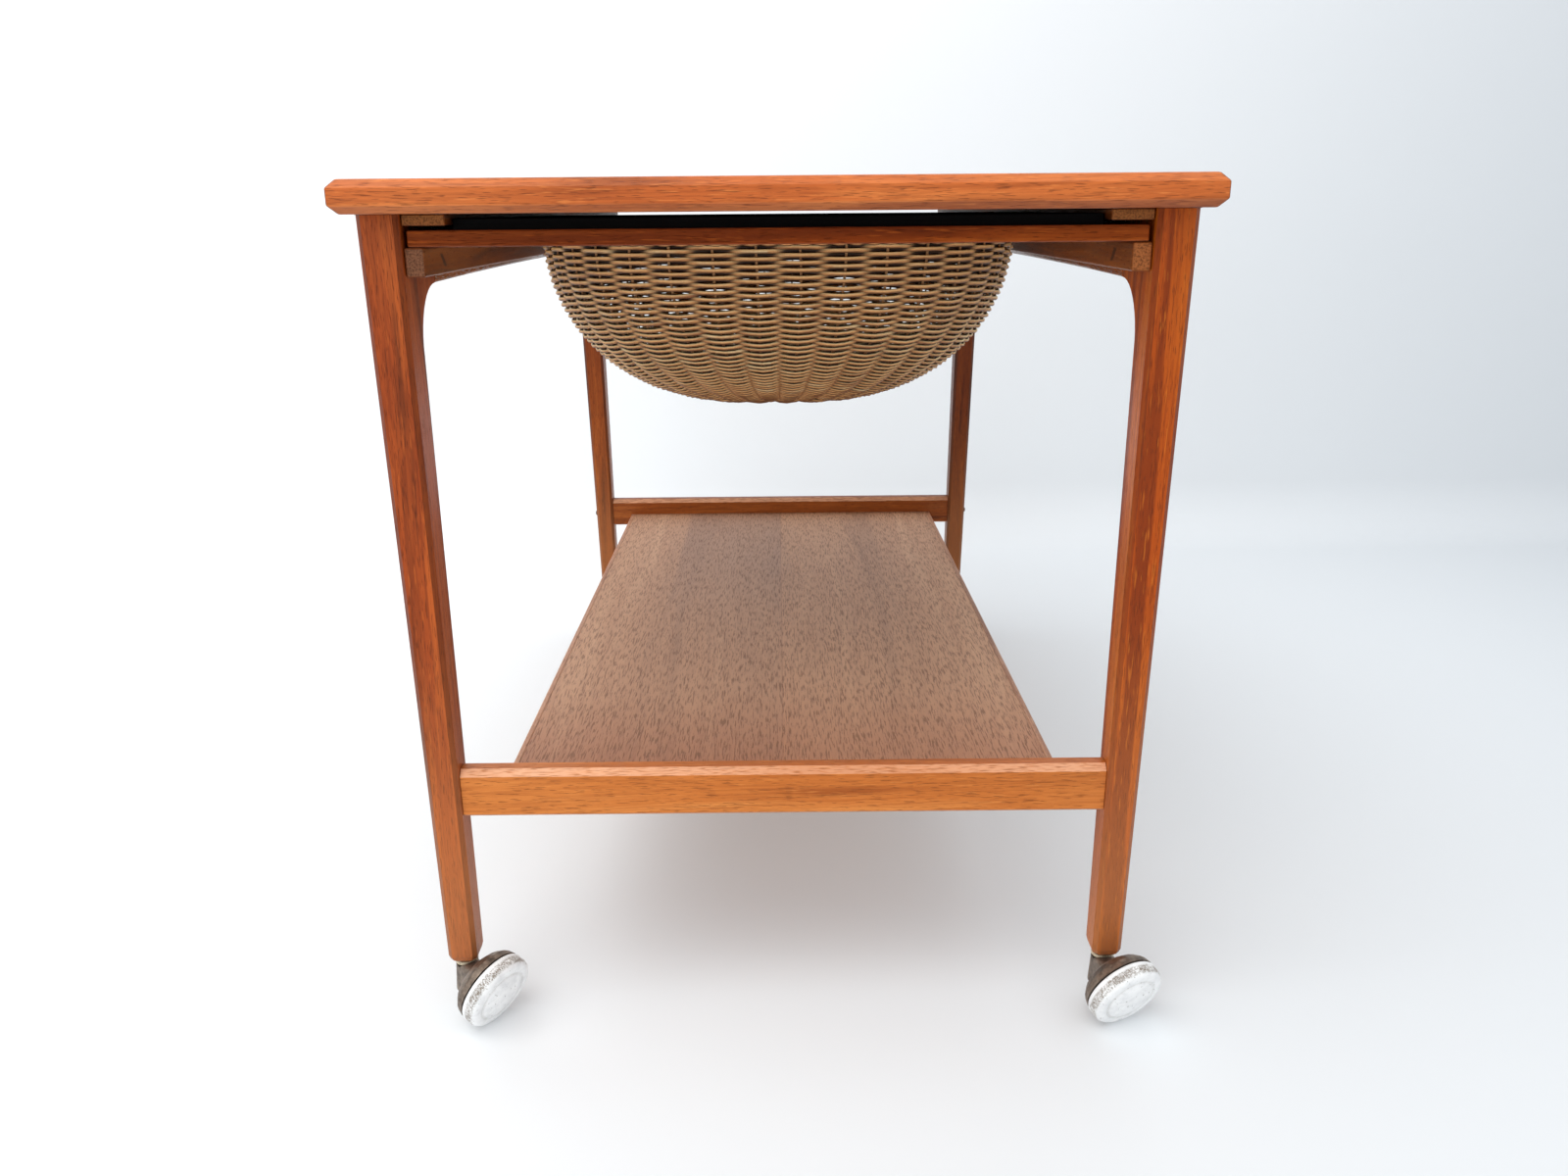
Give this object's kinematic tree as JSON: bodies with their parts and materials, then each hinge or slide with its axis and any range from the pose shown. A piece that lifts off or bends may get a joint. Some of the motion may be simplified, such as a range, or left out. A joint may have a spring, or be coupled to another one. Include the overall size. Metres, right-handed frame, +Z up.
{
  "type": "wheeled sewing table with sliding basket and tray",
  "caption": "Wheeled sewing table: flat top on splayed legs, a sliding drawer frame with an oval woven basket and a shallow tray, a lower shelf, and swivelling hooded casters.",
  "frame": {"origin": "on the floor under the middle of the table", "axes": "+X right and +Y towards the rear, along the top's length, +Z up"},
  "size_m": [0.4906, 0.8616, 0.53],
  "materials": {
    "oiled_teak": "satin oiled",
    "teak_veneer": "matte oiled",
    "runner_wood": "matte",
    "plywood": "matte",
    "woven_cane": "satin",
    "black_plastic": "matte",
    "white_plastic": "worn gloss",
    "cream_plastic": "satin",
    "bronzed_metal": "aged bronze",
    "steel": "plain"
  },
  "bodies": {
    "frame": {"top_panel": "teak_veneer", "top_lipping_front": "oiled_teak", "top_lipping_rear": "oiled_teak", "top_lipping_left": "oiled_teak", "top_lipping_right": "oiled_teak", "leg_front_left": "oiled_teak", "leg_front_right": "oiled_teak", "leg_rear_left": "oiled_teak", "leg_rear_right": "oiled_teak", "side_apron_left": "oiled_teak", "side_apron_right": "oiled_teak", "drawer_runner_left": "runner_wood", "drawer_runner_right": "runner_wood", "drawer_kicker_left": "runner_wood", "drawer_kicker_right": "runner_wood", "stretcher_front": "oiled_teak", "stretcher_rear": "oiled_teak", "shelf_panel": "teak_veneer", "shelf_lipping_left": "oiled_teak", "shelf_lipping_right": "oiled_teak", "stretcher_screw_front_left": "bronzed_metal", "stretcher_screw_front_right": "bronzed_metal", "stretcher_screw_rear_left": "bronzed_metal", "stretcher_screw_rear_right": "bronzed_metal", "caster_socket_front_left": "cream_plastic", "caster_socket_front_right": "cream_plastic", "caster_socket_rear_left": "cream_plastic", "caster_socket_rear_right": "cream_plastic"},
    "drawer": {"drawer_rail_front": "oiled_teak", "drawer_rail_rear": "oiled_teak", "drawer_rail_left": "oiled_teak", "drawer_rail_right": "oiled_teak", "basket_board": "plywood", "woven_basket": "woven_cane"},
    "notions_tray": {"black_tray": "black_plastic"},
    "caster_front_left": {"caster_stem_front_left": "steel", "caster_hood_front_left": "bronzed_metal", "caster_axle_front_left": "steel"},
    "wheel_front_left": {"caster_wheel_front_left": "white_plastic"},
    "caster_front_right": {"caster_stem_front_right": "steel", "caster_hood_front_right": "bronzed_metal", "caster_axle_front_right": "steel"},
    "wheel_front_right": {"caster_wheel_front_right": "white_plastic"},
    "caster_rear_left": {"caster_stem_rear_left": "steel", "caster_hood_rear_left": "bronzed_metal", "caster_axle_rear_left": "steel"},
    "wheel_rear_left": {"caster_wheel_rear_left": "white_plastic"},
    "caster_rear_right": {"caster_stem_rear_right": "steel", "caster_hood_rear_right": "bronzed_metal", "caster_axle_rear_right": "steel"},
    "wheel_rear_right": {"caster_wheel_rear_right": "white_plastic"}
  },
  "joints": [
    {"name": "drawer_slide", "type": "slide", "parent": "frame", "child": "drawer", "axis": [0, -1, 0], "range_m": [-0.38, 0.38]},
    {"name": "tray_slide", "type": "slide", "parent": "drawer", "child": "notions_tray", "axis": [0, 1, 0], "range_m": [0, 0.39]},
    {"name": "swivel_front_left", "type": "hinge", "parent": "frame", "child": "caster_front_left", "pos_m": [-0.2133, -0.38225, 0.036], "axis": [0, 0, 1], "continuous": true},
    {"name": "roll_front_left", "type": "hinge", "parent": "caster_front_left", "child": "wheel_front_left", "pos_m": [-0.18931, -0.40498, 0.02454], "axis": [0.783, -0.5085, -0.3584], "continuous": true},
    {"name": "swivel_front_right", "type": "hinge", "parent": "frame", "child": "caster_front_right", "pos_m": [0.2133, -0.38225, 0.036], "axis": [0, 0, 1], "continuous": true},
    {"name": "roll_front_right", "type": "hinge", "parent": "caster_front_right", "child": "wheel_front_right", "pos_m": [0.22104, -0.41438, 0.02454], "axis": [0.3797, -0.8529, -0.3584], "continuous": true},
    {"name": "swivel_rear_left", "type": "hinge", "parent": "frame", "child": "caster_rear_left", "pos_m": [-0.2133, 0.38225, 0.036], "axis": [0, 0, 1], "continuous": true},
    {"name": "roll_rear_left", "type": "hinge", "parent": "caster_rear_left", "child": "wheel_rear_left", "pos_m": [-0.22104, 0.41438, 0.02454], "axis": [-0.3797, 0.8529, -0.3584], "continuous": true},
    {"name": "swivel_rear_right", "type": "hinge", "parent": "frame", "child": "caster_rear_right", "pos_m": [0.2133, 0.38225, 0.036], "axis": [0, 0, 1], "continuous": true},
    {"name": "roll_rear_right", "type": "hinge", "parent": "caster_rear_right", "child": "wheel_rear_right", "pos_m": [0.18931, 0.40498, 0.02454], "axis": [-0.783, 0.5085, -0.3584], "continuous": true}
  ]
}
